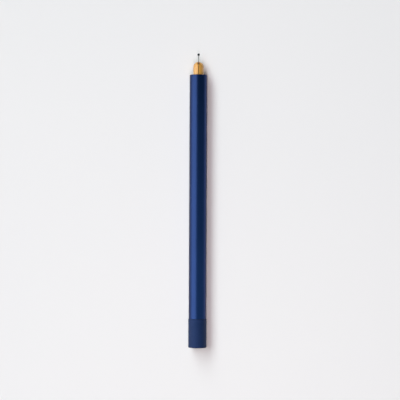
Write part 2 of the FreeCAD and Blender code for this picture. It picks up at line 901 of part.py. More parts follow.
def make_motor():
    z = size.motor_height
    inner = size.motor_diameter - 2 * size.motor_wall
    hole = size.rotor_shaft + 2 * size.shaft_clearance
    can = turned([
        (size.motor_from, inner),
        (size.motor_from, size.motor_diameter),
        (size.motor_to, size.motor_diameter),
        (size.motor_to, hole),
        (size.motor_face_from, hole),
        (size.motor_face_from, inner),
    ], 0, z)
    piece("motor_can", can)
    cap = cut(
        rod(size.motor_diameter, size.motor_cap_from, size.motor_from, 0, z),
        rod(hole, size.rotor_pocket_from, size.motor_from, 0, z))
    piece("motor_end_cap", cap)
    piece("motor_magnet", ring(inner, size.stator_bore, size.stator_from, size.motor_face_from, z))
    shaft = rod(size.rotor_shaft, size.rotor_shaft_from, size.first_stage_from + size.gear_face, 0, z)
    armature = rod(size.armature_diameter, size.armature_from, size.armature_to, 0, z)
    piece("motor_rotor", fuse(shaft, armature, sun_gear(size.first_stage_from)))


def sun_gear(start):
    return shaped(external_gear(SUN_TEETH, 0, start.value))


def external_gear(teeth, first_angle, y):
    """A small spur gear with straight flanks, about the motor's axis."""
    module = size.gear_module.value
    return lobed(
        teeth, module * (teeth / 2 - DEDENDUM), module * (teeth / 2 + ADDENDUM), ROOT_SHARE, TIP_SHARE,
        first_angle, y, size.motor_height.value, size.gear_face.value)


def planet_circle():
    return size.gear_module.value * (SUN_TEETH + PLANET_TEETH) / 2


def planet_angle(direction):
    """How far a planet in the given direction is turned to mesh with a sun that has a tooth pointing up."""
    sun_phase = direction / (2 * math.pi / SUN_TEETH)
    return direction + math.pi - (0.5 - sun_phase) * 2 * math.pi / PLANET_TEETH


def ring_angle():
    """Where the ring's first space lies, so that the planet above the sun meshes with it."""
    planet_phase = (0 - planet_angle(0)) / (2 * math.pi / PLANET_TEETH)
    return -planet_phase * 2 * math.pi / RING_TEETH


def make_gearbox():
    module = size.gear_module.value
    z = size.motor_height
    room = lobed(
        RING_TEETH, module * (RING_TEETH / 2 - ADDENDUM), module * (RING_TEETH / 2 + DEDENDUM),
        0.5 - TIP_SHARE, 0.5 - ROOT_SHARE, ring_angle(), size.motor_to.value, z.value,
        size.gear_room_to.value - size.motor_to.value)
    housing = rod(size.motor_diameter, size.motor_to, size.gearbox_to, 0, z)
    shaft_hole = rod(size.drive_shaft + 2 * size.shaft_clearance, size.motor_to, size.gearbox_to, 0, z)
    piece("gearbox_ring", cut(housing, shaped(room), shaft_hole))


def make_planets(prefix, start):
    for number, degrees in enumerate(THIRDS, start=1):
        direction = math.radians(degrees)
        centre = around(direction, planet_circle(), 0, 0)
        gear = external_gear(PLANET_TEETH, planet_angle(direction), start.value)
        gear.translate(centre)
        bore = rod(
            size.planet_bore, start, start + size.gear_face, centre.x, size.motor_height + centre.z)
        piece("%s_planet_%d" % (prefix, number), cut(shaped(gear), bore))


def pin_carrier(start):
    """A disc in front of a stage, with three pins that reach back into its planets."""
    disc_from = start + size.gear_face + size.carrier_disc_gap
    disc = rod(size.carrier_disc, disc_from, disc_from + size.carrier_disc_thickness, 0, size.motor_height)
    pins = []
    for degrees in THIRDS:
        centre = around(math.radians(degrees), planet_circle(), 0, 0)
        pin_from = start + size.planet_pin_inset
        pins.append(rod(size.planet_pin, pin_from, disc_from, centre.x, size.motor_height + centre.z))
    return [disc] + pins, disc_from + size.carrier_disc_thickness


def make_gear_carriers():
    parts, front = pin_carrier(size.first_stage_from)
    link = rod(size.rotor_shaft, front, size.second_stage_from + size.gear_face, 0, size.motor_height)
    piece("first_stage_carrier", fuse(*parts, link, sun_gear(size.second_stage_from)))
    parts, front = pin_carrier(size.second_stage_from)
    shaft = rod(size.drive_shaft, front, size.drive_shaft_to, 0, size.motor_height)
    piece("drive_carrier", fuse(*parts, shaft))


# ---------------------------------------------------------------- filament feed

def screw_thread():
    """A helical ridge that stands on the core of the feed screw."""
    root = size.thread_root.value / 2
    crest = size.screw_diameter.value / 2
    half = size.thread_half_width.value
    margin = 2 * half
    length = size.screw_to.value - size.screw_from.value - 2 * margin
    helix = Part.makeHelix(size.screw_pitch.value, length, crest)
    section = Part.makePolygon([
        Vector(root, 0, -half), Vector(crest, 0, 0), Vector(root, 0, half), Vector(root, 0, -half)])
    ridge = Part.Wire(helix.Edges).makePipeShell([section], True, True)
    ridge.Placement = FreeCAD.Placement(
        Vector(0, size.screw_from.value + margin, size.motor_height.value), ALONG_Y)
    return ridge


def make_feed_screw():
    z = size.motor_height
    coupling = cut(
        rod(size.coupling_diameter, size.coupling_from, size.coupling_to, 0, z),
        rod(size.drive_shaft, size.coupling_from, size.coupling_to, 0, z))
    piece("shaft_coupling", coupling)
    shaft = rod(size.drive_shaft, size.screw_shaft_from, size.screw_shaft_to, 0, z)
    core = rod(size.screw_core, size.screw_from, size.screw_to, 0, z)
    piece("feed_screw", fuse(shaft, core, shaped(screw_thread())))


def bearing_starts():
    rear = size.frame_from + size.bearing_inset
    front = size.frame_to - size.bearing_inset - size.bearing_length
    return rear, front


def make_bearings():
    hole = size.drive_shaft + 2 * size.shaft_clearance
    bushes = []
    for start in bearing_starts():
        end = start + size.bearing_length
        bushes.append(ring(size.bearing_diameter, hole, start, end, size.motor_height))
    piece("screw_bearings", fuse(*bushes))


def make_feed_frame():
    z = size.motor_height
    room_half = size.screw_room / 2
    hollows = [
        rod(size.screw_room, size.screw_room_from, size.screw_room_to, 0, z),
        block(-room_half, room_half, size.screw_room_from, size.screw_room_to, -size.carrier_bore / 2, z),
        slab(size.idler_room, size.idler_room_from, size.idler_room_to, size.idler_room_floor,
             size.carrier_bore / 2),
        slab(size.carrier_bore, size.idler_room_to, size.frame_to, size.spring_height, size.carrier_bore / 2),
        rod(size.filament_passage, size.frame_from, size.frame_to, 0, size.feed_height),
        rod(size.guide_diameter, size.frame_from, size.rear_guide_to, 0, size.feed_height),
        rod(size.guide_diameter, size.front_guide_from, size.frame_to, 0, size.feed_height),
        rod(size.shaft_passage, size.frame_from, size.frame_to, 0, z),
        cross_rod(size.pivot_diameter, -size.pivot_length / 2, size.pivot_length / 2, size.pivot_at,
                  size.pivot_height),
        ribbon_slot(size.frame_from, size.frame_to),
    ]
    for start in bearing_starts():
        hollows.append(rod(size.bearing_diameter, start, start + size.bearing_length, 0, z))
    stock = rod(size.carrier_bore, size.frame_from, size.frame_to)
    piece("feed_frame", cut(stock, *hollows, *lead_slots(size.frame_from, size.frame_to)))


def make_idler():
    pin = cross_rod(
        size.pivot_diameter, -size.pivot_length / 2, size.pivot_length / 2, size.pivot_at, size.pivot_height)
    piece("lever_pivot_pin", pin)
    stock = plate([
        (size.lever_from, size.lever_bottom + size.lever_corner),
        (size.lever_from + size.lever_corner, size.lever_bottom),
        (size.lever_to - size.lever_corner, size.lever_bottom),
        (size.lever_to, size.lever_bottom + size.lever_corner),
        (size.lever_to, size.lever_top - size.lever_slope - size.lever_corner),
        (size.lever_to - size.lever_corner, size.lever_top - size.lever_slope),
        (size.lever_from + size.lever_corner, size.lever_top),
        (size.lever_from, size.lever_top - size.lever_corner),
    ], size.lever_width)
    half = size.lever_width / 2
    high = size.barrel_bore / 2
    hollows = [
        slab(size.lever_fork, size.lever_from, size.web_from, 0, high),
        slab(size.lever_fork, size.web_to, size.lever_to, 0, high),
        slab(size.lever_fork, size.web_from, size.web_to, size.spring_height, high),
        cross_rod(size.axle_diameter, -half, half, size.roller_at, size.roller_height),
        cross_rod(size.pivot_diameter + 2 * size.shaft_clearance, -half, half, size.pivot_at,
                  size.pivot_height),
    ]
    piece("idler_lever", cut(stock, *hollows))
    piece("roller_axle", cross_rod(size.axle_diameter, -half, half, size.roller_at, size.roller_height))
    spring = slab(
        size.spring_width, size.spring_from, size.spring_to, size.spring_height,
        size.spring_height + size.spring_thickness)
    piece("idler_spring", spring)


def make_idler_roller():
    outer = size.roller_width / 2
    inner = outer - size.roller_rim_width
    rims = [
        cross_rod(size.roller_rim, -outer, -inner, size.roller_at, size.roller_height),
        cross_rod(size.roller_rim, inner, outer, size.roller_at, size.roller_height),
    ]
    groove = cross_rod(size.roller_groove, -inner, inner, size.roller_at, size.roller_height)
    hole = cross_rod(
        size.axle_diameter + 2 * size.shaft_clearance, -outer, outer, size.roller_at, size.roller_height)
    piece("idler_roller", cut(fuse(groove, *rims), hole))


# ---------------------------------------------------------------- hot end and nozzle

def make_cold_plate():
    plug = turned([
        (size.cold_plate_from, size.break_thread),
        (size.cold_plate_from, size.barrel_bore),
        (size.cold_plate_to, size.barrel_bore),
        (size.cold_plate_to, size.break_thread),
    ])
    screw_hole = underside_hole(size.set_screw_diameter, size.front_screw_at)
    slots = lead_slots(size.cold_plate_from, size.cold_plate_to)
    piece("cold_plate", cut(plug, screw_hole, *slots))


def make_heat_break():
    piece("heat_break", turned([
        (size.break_from, size.melt_bore),
        (size.break_from, size.break_thread),
        (size.cold_plate_to, size.break_thread),
        (size.cold_plate_to, size.break_neck),
        (size.break_neck_to, size.break_neck),
        (size.break_neck_to, size.break_nose),
        (size.break_to, size.break_nose),
        (size.break_to, size.melt_bore),
    ]))


def make_heater():
    piece("heater_tube", turned([
        (size.heater_from, size.collet_shank),
        (size.heater_from, size.heater_diameter),
        (size.heater_to, size.heater_diameter),
        (size.heater_to, size.collet_shank),
    ]))
    height = size.heater_to - size.heater_from - 2 * size.winding_margin
    winding = coil(size.heater_diameter + size.winding_wire, size.winding_wire, size.winding_pitch, height)
    put(winding, 0, size.heater_from + size.winding_margin, 0, ALONG_Y)
    piece("heater_winding", winding)
    ring_middle = (size.collet_shank + size.heater_diameter) / 4
    thermistor_from = size.heater_from - size.thermistor_length
    piece("thermistor", rod(size.thermistor_diameter, thermistor_from, size.heater_from, 0, ring_middle))
    piece("insulation_sleeve", turned([
        (size.sleeve_from, size.sleeve_bore),
        (size.sleeve_from, size.sleeve_diameter),
        (size.sleeve_to, size.sleeve_diameter),
        (size.sleeve_to, size.sleeve_bore),
    ]))
    piece("nose_collar", turned([
        (size.sleeve_to, size.collar_bore),
        (size.sleeve_to, size.barrel_bore),
        (size.collar_to, size.barrel_bore),
        (size.collar_to, size.collar_bore),
    ]))


def make_collet():
    stock = turned([
        (size.collet_from, 0),
        (size.collet_from, size.collet_shank),
        (size.collet_shank_to, size.collet_shank),
        (size.collet_shank_to, size.collet_neck),
        (size.taper_from, size.collet_neck),
        (size.taper_to, size.collet_diameter),
        (size.dome_centre, size.collet_diameter),
        (size.dome_centre, 0),
    ])
    dome = sphere(size.collet_diameter / 2, 0, size.dome_centre, 0)
    tip = size.dome_centre + size.collet_diameter / 2
    mouth = cone(size.needle_diameter, size.mouth_diameter, size.mouth_depth)
    put(mouth, 0, tip - size.mouth_depth, 0, ALONG_Y)
    hollows = [
        rod(size.break_nose, size.collet_from, size.break_to),
        rod(size.melt_bore, size.collet_from, size.needle_head_to),
        rod(size.needle_diameter, size.collet_from, tip),
        mouth,
    ]
    for degrees in THIRDS:
        slot = block(
            -size.slot_width / 2, size.slot_width / 2, size.slot_from, tip, 0, size.collet_diameter)
        turn = FreeCAD.Rotation(Vector(0, 1, 0), degrees)
        corner = turn.multVec(Vector(-size.slot_width.value / 2, 0, 0))
        hollows.append(put(slot, corner.x, size.slot_from, corner.z, turn))
        relief = cylinder(size.relief_diameter, size.collet_diameter)
        hollows.append(put(relief, 0, size.relief_at, 0, turn))
    piece("nozzle_collet", cut(fuse(stock, dome), *hollows))


def make_needle():
    piece("nozzle_needle", turned([
        (size.needle_head_from, size.needle_bore),
        (size.needle_head_from, size.melt_bore),
        (size.needle_head_to, size.melt_bore),
        (size.needle_head_to, size.needle_diameter),
        (size.needle_to, size.needle_diameter),
        (size.needle_to, size.needle_bore),
    ]))
    ball = sphere(size.ball_diameter / 2, 0, size.ball_at, 0)
    socket = rod(size.needle_diameter, size.ball_at - size.ball_diameter, size.needle_to)
    bore = rod(size.needle_bore, size.needle_to, size.pen_length)
    piece("nozzle_ball_tip", cut(ball, socket, bore))


def make_set_screws():
    screws = []
    low = -size.barrel_bore / 2
    for at in (size.rear_screw_at, size.front_screw_at):
        grub = post(size.set_screw_diameter, low, low + size.set_screw_length, at)
        key = doc.addObject("Part::Prism", "key_socket")
        key.Polygon = 6
        bind(key, "Circumradius", size.set_screw_key / 2)
        bind(key, "Height", size.set_screw_key_depth)
        screws.append(cut(grub, put(key, 0, at, low)))
    piece("set_screws", fuse(*screws))


# ---------------------------------------------------------------- build, check and write

def build_all():
    make_barrel()
    make_speed_dial()
    make_rear_core()
    make_detent()
    make_filament_inlet()
    make_power_jack()
    make_main_board()
    make_key_board()
    make_button("feed_button", size.feed_button_at)
    make_button("retract_button", size.retract_button_at)
    make_wiring()
    make_inner_carrier()
    make_guide_tubes()
    make_motor()
    make_gearbox()
    make_planets("first_stage", size.first_stage_from)
    make_planets("second_stage", size.second_stage_from)
    make_gear_carriers()
    make_feed_screw()
    make_bearings()
    make_feed_frame()
    make_idler()
    make_idler_roller()
    make_cold_plate()
    make_heat_break()
    make_heater()
    make_collet()
    make_needle()
    make_set_screws()
    doc.recompute()


def faults():
    found = []
    for thing in doc.Objects:
        if "Invalid" in thing.State or "Error" in thing.State:
            found.append("%s (%s) is %s" % (thing.Label, thing.TypeId, thing.State))
    for name, thing in pieces.items():
        if thing.Shape.isNull() or not thing.Shape.isValid() or thing.Shape.Volume <= 0:
            found.append("%s has no valid shape" % name)
    return found


build_all()
problems = faults()
if problems:
    raise RuntimeError("; ".join(problems))

os.makedirs("parts", exist_ok=True)
for name, thing in pieces.items():
    thing.Shape.exportStep("parts/%s.step" % name)
    box = thing.Shape.BoundBox
    print("%-22s %d solid(s) %9.3f mm3  y %8.3f to %8.3f  z %6.3f to %6.3f" % (
        name, len(thing.Shape.Solids), thing.Shape.Volume, box.YMin, box.YMax, box.ZMin, box.ZMax))
print("%d pieces" % len(pieces))
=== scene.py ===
"""Looks of the three d pen: fine meshes for what shows, a procedural finish for every piece, a studio."""

import json
import math

import bmesh
import bpy
from mathutils import Matrix, Vector


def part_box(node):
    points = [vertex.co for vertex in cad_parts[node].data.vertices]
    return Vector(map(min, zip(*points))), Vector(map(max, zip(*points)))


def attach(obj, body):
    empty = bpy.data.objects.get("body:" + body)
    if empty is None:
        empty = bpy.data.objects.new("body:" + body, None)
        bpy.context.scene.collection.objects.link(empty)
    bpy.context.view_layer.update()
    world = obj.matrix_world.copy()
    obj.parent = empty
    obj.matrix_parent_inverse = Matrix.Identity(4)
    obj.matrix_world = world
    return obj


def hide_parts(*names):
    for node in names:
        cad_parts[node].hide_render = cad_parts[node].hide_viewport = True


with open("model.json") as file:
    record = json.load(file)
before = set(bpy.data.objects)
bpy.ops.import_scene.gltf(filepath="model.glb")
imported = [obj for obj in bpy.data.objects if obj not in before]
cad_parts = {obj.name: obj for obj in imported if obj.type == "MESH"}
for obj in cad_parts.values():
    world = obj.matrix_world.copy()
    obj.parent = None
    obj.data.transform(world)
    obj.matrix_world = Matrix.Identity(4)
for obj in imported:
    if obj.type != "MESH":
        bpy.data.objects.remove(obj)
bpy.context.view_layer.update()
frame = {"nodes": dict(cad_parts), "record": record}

MM = 0.001


# ---------------------------------------------------------------- places, all read from the frame

def low(node):
    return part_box(node)[0]


def high(node):
    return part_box(node)[1]


def middle(node):
    return (low(node) + high(node)) / 2


def radius_of(node):
    return (high(node).x - low(node).x) / 2


AXIS = middle("barrel").z
BARREL_RADIUS = radius_of("barrel")
DIAL_RADIUS = radius_of("speed_dial")
COLLET_RADIUS = radius_of("nozzle_collet")
BALL_RADIUS = radius_of("nozzle_ball_tip")

# lengths that the frame's boxes don't give, the same as in the CAD
NEEDLE_RADIUS = 0.275 * MM
PLASTIC_BORE = 0.15 * MM
BUTTON_HOLE = 2.0 * MM
SCREW_CLEARANCE = 0.07 * MM
FLAT_HEIGHT = AXIS - 5.13 * MM
FLAT_LENGTH = 15.45 * MM
SHARP_ANGLE = math.radians(38)

# the length of one band of a wave texture at scale 1
WAVE_BAND = 0.31416


# ---------------------------------------------------------------- mesh tools

def rounded(corners, steps=6):
    """A closed outline of (along, radius, rounding) corners, with each rounding turned into an arc."""
    outline = []
    count = len(corners)
    for number, (along, radius, rounding) in enumerate(corners):
        corner = Vector((along, radius))
        if not rounding:
            outline.append(corner)
            continue
        before = Vector(corners[number - 1][:2]) - corner
        after = Vector(corners[(number + 1) % count][:2]) - corner
        before.normalize()
        after.normalize()
        half = before.angle(after) / 2
        reach = rounding / math.tan(half)
        centre = corner + (before + after).normalized() * rounding / math.sin(half)
        start = corner + before * reach - centre
        end = corner + after * reach - centre
        turn = start.angle_signed(end)
        for step in range(steps + 1):
            angle = -turn * step / steps
            spot = Vector((
                start.x * math.cos(angle) - start.y * math.sin(angle),
                start.x * math.sin(angle) + start.y * math.cos(angle)))
            outline.append(centre + spot)
    return outline


def to_object(name, mesh_builder):
    mesh = bpy.data.meshes.new(name)
    mesh_builder.to_mesh(mesh)
    mesh_builder.free()
    piece = bpy.data.objects.new(name, mesh)
    bpy.context.scene.collection.objects.link(piece)
    return piece


def lathe(name, outline, segments):
    """A closed outline of (along, radius) points turned about the pen's centre line."""
    builder = bmesh.new()
    rings = []
    for along, radius in outline:
        circle = []
        for segment in range(segments):
            angle = 2 * math.pi * segment / segments
            spot = (radius * math.sin(angle), along, AXIS + radius * math.cos(angle))
            circle.append(builder.verts.new(spot))
        rings.append(circle)
    for first, second in zip(rings, rings[1:] + rings[:1]):
        for segment in range(segments):
            following = (segment + 1) % segments
            corners = (first[segment], first[following], second[following], second[segment])
            builder.faces.new(corners)
    bmesh.ops.remove_doubles(builder, verts=builder.verts, dist=1e-8)
    bmesh.ops.dissolve_degenerate(builder, edges=builder.edges, dist=1e-9)
    bmesh.ops.recalc_face_normals(builder, faces=builder.faces)
    return to_object(name, builder)


def round_bar(name, radius, start, end, segments=96):
    """A solid cylinder between two points."""
    start = Vector(start)
    end = Vector(end)
    builder = bmesh.new()
    turn = (end - start).to_track_quat("Z", "Y").to_matrix().to_4x4()
    place = Matrix.Translation((start + end) / 2) @ turn
    bmesh.ops.create_cone(
        builder, cap_ends=True, segments=segments, radius1=radius, radius2=radius,
        depth=(end - start).length, matrix=place)
    return to_object(name, builder)


def brick(name, lowest, highest, turn=0.0):
    """A block, turned about the pen's centre line."""
    lowest = Vector(lowest)
    highest = Vector(highest)
    builder = bmesh.new()
    scale = Matrix.Diagonal((*(highest - lowest), 1))
    place = Matrix.Translation((lowest + highest) / 2)
    centre = Matrix.Translation((0, 0, AXIS))
    spin = centre @ Matrix.Rotation(turn, 4, "Y") @ centre.inverted()
    bmesh.ops.create_cube(builder, size=1, matrix=spin @ place @ scale)
    return to_object(name, builder)


def settle(piece):
    """Apply the modifiers of a piece to its mesh."""
    bpy.context.view_layer.update()
    depsgraph = bpy.context.evaluated_depsgraph_get()
    mesh = bpy.data.meshes.new_from_object(piece.evaluated_get(depsgraph))
    mesh.name = piece.name
    piece.modifiers.clear()
    piece.data = mesh
    return piece


def cut(piece, *cutters):
    """Take the cutters away from a piece, and delete them."""
    for cutter in cutters:
        modifier = piece.modifiers.new("cut", "BOOLEAN")
        modifier.operation = "DIFFERENCE"
        modifier.solver = "EXACT"
        modifier.object = cutter
    settle(piece)
    for cutter in cutters:
        bpy.data.objects.remove(cutter)
    return piece


def soften(piece, width):
    """Round the sharp edges of a piece a little, as a tumbled or deburred part is."""
    modifier = piece.modifiers.new("soften", "BEVEL")
    modifier.width = width
    modifier.segments = 3
    modifier.limit_method = "ANGLE"
    modifier.angle_limit = math.radians(35)
    modifier.harden_normals = False
    return settle(piece)


def finish_piece(piece, finish, body, slot, *nodes):
    """Shade a piece, give it its finish and tie it to the frame."""
    piece.data.shade_smooth()
    piece.data.set_sharp_from_angle(angle=SHARP_ANGLE)
    piece.data.materials.clear()
    piece.data.materials.append(finish)
    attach(piece, body)
    if nodes:
        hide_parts(*nodes)
    return piece


# ---------------------------------------------------------------- finishes

class Finish:
    """A Principled material with a few ways of adding procedural detail to it."""

    def __init__(self, name, colour, metallic=0.0, roughness=0.5, sockets=None):
        self.material = bpy.data.materials.new(name)
        self.material.use_nodes = True
        self.tree = self.material.node_tree
        self.shader = self.tree.nodes["Principled BSDF"]
        self.colour = (*colour, 1.0)
        self.shader.inputs["Base Color"].default_value = self.colour
        self.shader.inputs["Metallic"].default_value = metallic
        self.shader.inputs["Roughness"].default_value = roughness
        for socket, value in (sockets or {}).items():
            self.shader.inputs[socket].default_value = value
        coordinates = self.tree.nodes.new("ShaderNodeTexCoord")
        self.place = coordinates.outputs["Object"]
        self.bump_before = None

    def node(self, kind, **values):
        node = self.tree.nodes.new(kind)
        for name, value in values.items():
            setattr(node, name, value)
        return node

    def join(self, source, target):
        self.tree.links.new(source, target)

    def stretched(self, stretch):
        mapping = self.node("ShaderNodeMapping")
        mapping.inputs["Scale"].default_value = stretch
        self.join(self.place, mapping.inputs["Vector"])
        return mapping.outputs["Vector"]

    def noise(self, size, stretch=(1, 1, 1), detail=3.0, roughness=0.55):
        """Noise whose features are about size metres across."""
        noise = self.node("ShaderNodeTexNoise")
        noise.inputs["Scale"].default_value = 1 / size
        noise.inputs["Detail"].default_value = detail
        noise.inputs["Roughness"].default_value = roughness
        self.join(self.stretched(stretch), noise.inputs["Vector"])
        return noise.outputs["Fac"]

    def rings(self, pitch):
        """Fine turned rings square to the pen, pitch metres apart."""
        wave = self.node("ShaderNodeTexWave", wave_type="BANDS", bands_direction="Y", wave_profile="SIN")
        wave.inputs["Scale"].default_value = WAVE_BAND / pitch
        wave.inputs["Distortion"].default_value = 0.6
        wave.inputs["Detail"].default_value = 1.0
        self.join(self.place, wave.inputs["Vector"])
        return wave.outputs["Fac"]

    def ranged(self, source, from_low, from_high, to_low, to_high):
        ranged = self.node("ShaderNodeMapRange")
        for name, value in zip(
                ("From Min", "From Max", "To Min", "To Max"), (from_low, from_high, to_low, to_high)):
            ranged.inputs[name].default_value = value
        self.join(source, ranged.inputs["Value"])
        return ranged.outputs["Result"]

    def vary_colour(self, source, other, starts=0.35, ends=0.65):
        """Blend the base colour towards another where the pattern is high."""
        mix = self.node("ShaderNodeMix", data_type="RGBA")
        earlier = self.shader.inputs["Base Color"]
        if earlier.is_linked:
            self.join(earlier.links[0].from_socket, mix.inputs["A"])
        else:
            mix.inputs["A"].default_value = self.colour
        mix.inputs["B"].default_value = (*other, 1.0)
        self.join(self.ranged(source, starts, ends, 0.0, 1.0), mix.inputs["Factor"])
        self.join(mix.outputs["Result"], earlier)
        return self

    def vary_roughness(self, source, smoothest, roughest):
        varied = self.ranged(source, 0.3, 0.7, smoothest, roughest)
        self.join(varied, self.shader.inputs["Roughness"])
        return self

    def bump(self, source, height):
        """Raise the surface by up to height metres where the pattern is high."""
        bump = self.node("ShaderNodeBump")
        bump.inputs["Strength"].default_value = 1.0
        bump.inputs["Distance"].default_value = height
        self.join(source, bump.inputs["Height"])
        if self.bump_before is not None:
            self.join(self.bump_before, bump.inputs["Normal"])
        self.bump_before = bump.outputs["Normal"]
        self.join(self.bump_before, self.shader.inputs["Normal"])
        return self


def anodised_navy():
    """Satin anodised tube: deep blue dye over a fine lengthwise drawn grain."""
    finish = Finish("anodised_navy", (0.0075, 0.031, 0.134), metallic=1.0, roughness=0.34, sockets={
        "Coat Weight": 0.4, "Coat Roughness": 0.3, "Coat IOR": 1.5,
        "Specular Tint": (0.50, 0.42, 0.30, 1.0)})
    drawn = finish.noise(0.00022, stretch=(1, 0.02, 1), detail=4)
    cloud = finish.noise(0.012, stretch=(1, 0.35, 1), detail=2)
    finish.vary_colour(cloud, (0.010, 0.036, 0.148))
    finish.vary_colour(drawn, (0.006, 0.026, 0.118), 0.5, 0.8)
    finish.vary_roughness(drawn, 0.30, 0.38)
    finish.bump(drawn, 0.0000025)
    finish.bump(finish.noise(0.00006, detail=2), 0.0000012)
    return finish.material


def matte_navy():
    """Bead-blasted and anodised dial: the same dye on a dull, pitted surface."""
    finish = Finish("matte_navy", (0.010, 0.025, 0.085), metallic=0.35, roughness=0.60, sockets={
        "Specular IOR Level": 0.3})
    blasted = finish.noise(0.00011, detail=3, roughness=0.7)
    cloud = finish.noise(0.006, detail=2)
    finish.vary_colour(cloud, (0.012, 0.028, 0.092))
    finish.vary_colour(blasted, (0.014, 0.030, 0.094), 0.55, 0.85)
    finish.vary_roughness(blasted, 0.54, 0.68)
    finish.bump(blasted, 0.000009)
    return finish.material


def brass():
    """Turned brass with faint tool rings and a touch of tarnish."""
    finish = Finish("brass", (0.68, 0.325, 0.045), metallic=0.25, roughness=0.55, sockets={
        "Coat Weight": 1.0, "Coat Roughness": 0.22, "Coat IOR": 1.8})
    rings = finish.rings(0.00012)
    tarnish = finish.noise(0.0018, detail=5)
    finish.vary_colour(tarnish, (0.58, 0.26, 0.034), 0.45, 0.8)
    finish.vary_roughness(tarnish, 0.48, 0.62)
    finish.bump(rings, 0.0000015)
    return finish.material


def drawn_steel(name, colour, roughness, blotch):
    """Plain drawn or turned steel with rings left by the tool."""
    finish = Finish(name, colour, metallic=1.0, roughness=roughness)
    stain = finish.noise(0.0012, detail=4)
    finish.vary_colour(stain, blotch, 0.45, 0.75)
    finish.vary_roughness(stain, roughness * 0.85, roughness * 1.25)
    finish.bump(finish.rings(0.00009), 0.0000012)
    return finish.material


def moulded(name, colour, roughness, grain=0.00016, depth=0.000006, tint=1.25):
    """Moulded plastic with a spark-eroded texture."""
    finish = Finish(name, colour, roughness=roughness)
    sparks = finish.noise(grain, detail=4, roughness=0.65)
    finish.vary_colour(finish.noise(0.004), tuple(min(1.0, part * tint) for part in colour))
    finish.vary_roughness(sparks, max(0.05, roughness - 0.07), min(1.0, roughness + 0.08))
    finish.bump(sparks, depth)
    return finish.material


def circuit_board():
    """Green solder mask with the paler lines of covered tracks."""
    finish = Finish("circuit_board", (0.015, 0.12, 0.06), roughness=0.32)
    tracks = finish.node("ShaderNodeTexBrick")
    tracks.inputs["Scale"].default_value = 900
    tracks.inputs["Mortar Size"].default_value = 0.012
    tracks.inputs["Color1"].default_value = (0, 0, 0, 1)
    tracks.inputs["Color2"].default_value = (0, 0, 0, 1)
    tracks.inputs["Mortar"].default_value = (1, 1, 1, 1)
    finish.join(finish.place, tracks.inputs["Vector"])
    finish.vary_colour(tracks.outputs["Color"], (0.05, 0.22, 0.10), 0.2, 0.8)
    finish.vary_roughness(finish.noise(0.0008), 0.28, 0.4)
    finish.bump(tracks.outputs["Color"], 0.00001)
    return finish.material


def woven_glass():
    """Glass-fibre cloth set in resin."""
    finish = Finish("glass_fibre", (0.62, 0.55, 0.40), roughness=0.55)
    checker = finish.node("ShaderNodeTexChecker")
    checker.inputs["Scale"].default_value = 2500
    finish.join(finish.place, checker.inputs["Vector"])
    finish.vary_colour(checker.outputs["Fac"], (0.50, 0.43, 0.29), 0, 1)
    finish.vary_roughness(finish.noise(0.0007), 0.45, 0.65)
    finish.bump(checker.outputs["Fac"], 0.00001)
    return finish.material


def clear_plastic():
    """Clear acrylic for the light pipe."""
    finish = Finish(
        "clear_plastic", (0.86, 0.90, 0.92), roughness=0.12,
        sockets={"Transmission Weight": 0.85, "IOR": 1.49})
    finish.vary_roughness(finish.noise(0.0004), 0.10, 0.18)
    return finish.material


FINISHES = {
    "anodised_navy": anodised_navy(),
    "matte_navy": matte_navy(),
    "brass": brass(),
    "needle_steel": drawn_steel("needle_steel", (0.40, 0.37, 0.35), 0.35, (0.33, 0.31, 0.30)),
    "dark_steel": drawn_steel("dark_steel", (0.045, 0.045, 0.050), 0.30, (0.030, 0.030, 0.033)),
    "machined_steel": drawn_steel("machined_steel", (0.44, 0.44, 0.45), 0.28, (0.36, 0.36, 0.37)),
    "spring_steel": drawn_steel("spring_steel", (0.55, 0.55, 0.56), 0.22, (0.45, 0.45, 0.47)),
    "magnet_nickel": drawn_steel("magnet_nickel", (0.60, 0.58, 0.54), 0.16, (0.52, 0.50, 0.46)),
    "bare_aluminium": drawn_steel("bare_aluminium", (0.66, 0.67, 0.68), 0.34, (0.58, 0.59, 0.60)),
    "black_plastic": moulded("black_plastic", (0.020, 0.020, 0.023), 0.55),
    "black_resin": moulded("black_resin", (0.014, 0.014, 0.016), 0.28, depth=0.000003),
    "key_plastic": moulded("key_plastic", (0.026, 0.030, 0.042), 0.50),
    "white_ptfe": moulded("white_ptfe", (0.78, 0.79, 0.78), 0.42, depth=0.000002, tint=1.04),
    "alumina": moulded("alumina", (0.80, 0.77, 0.70), 0.62, depth=0.000008, tint=1.05),
    "lead_insulation": moulded("lead_insulation", (0.42, 0.025, 0.020), 0.48),
    "amber_film": moulded("amber_film", (0.50, 0.22, 0.04), 0.25, depth=0.000002),
    "circuit_board": circuit_board(),
    "glass_fibre": woven_glass(),
    "clear_plastic": clear_plastic(),
}


def finish_cad_nodes():
    """Give every carried-over CAD node the finish of its own material slot."""
    for part in frame["record"]["subparts"]:
        for material_slot in frame["nodes"][part["node"]].material_slots:
            material_slot.material = FINISHES[part["material_slot"]]


# ---------------------------------------------------------------- pieces

def barrel_tube():
    start = low("barrel").y
    end = high("barrel").y
    inner = radius_of("cold_plate")
    tube = lathe("barrel_tube", rounded([
        (start, inner, 0.10 * MM),
        (start, BARREL_RADIUS, 0.12 * MM),
        (end, BARREL_RADIUS, 0.35 * MM),
        (end, inner, 0.10 * MM),
    ]), segments=256)
    drills = []
    for node in ("feed_button", "retract_button", "light_pipe", "set_screws"):
        drills.extend(wall_drills(node))
    cut(tube, *drills, flat_cutter(end))
    finish_piece(tube, FINISHES["anodised_navy"], "handle", "anodised_navy", "barrel")
    sharpen_level(tube, FLAT_HEIGHT)
    return tube


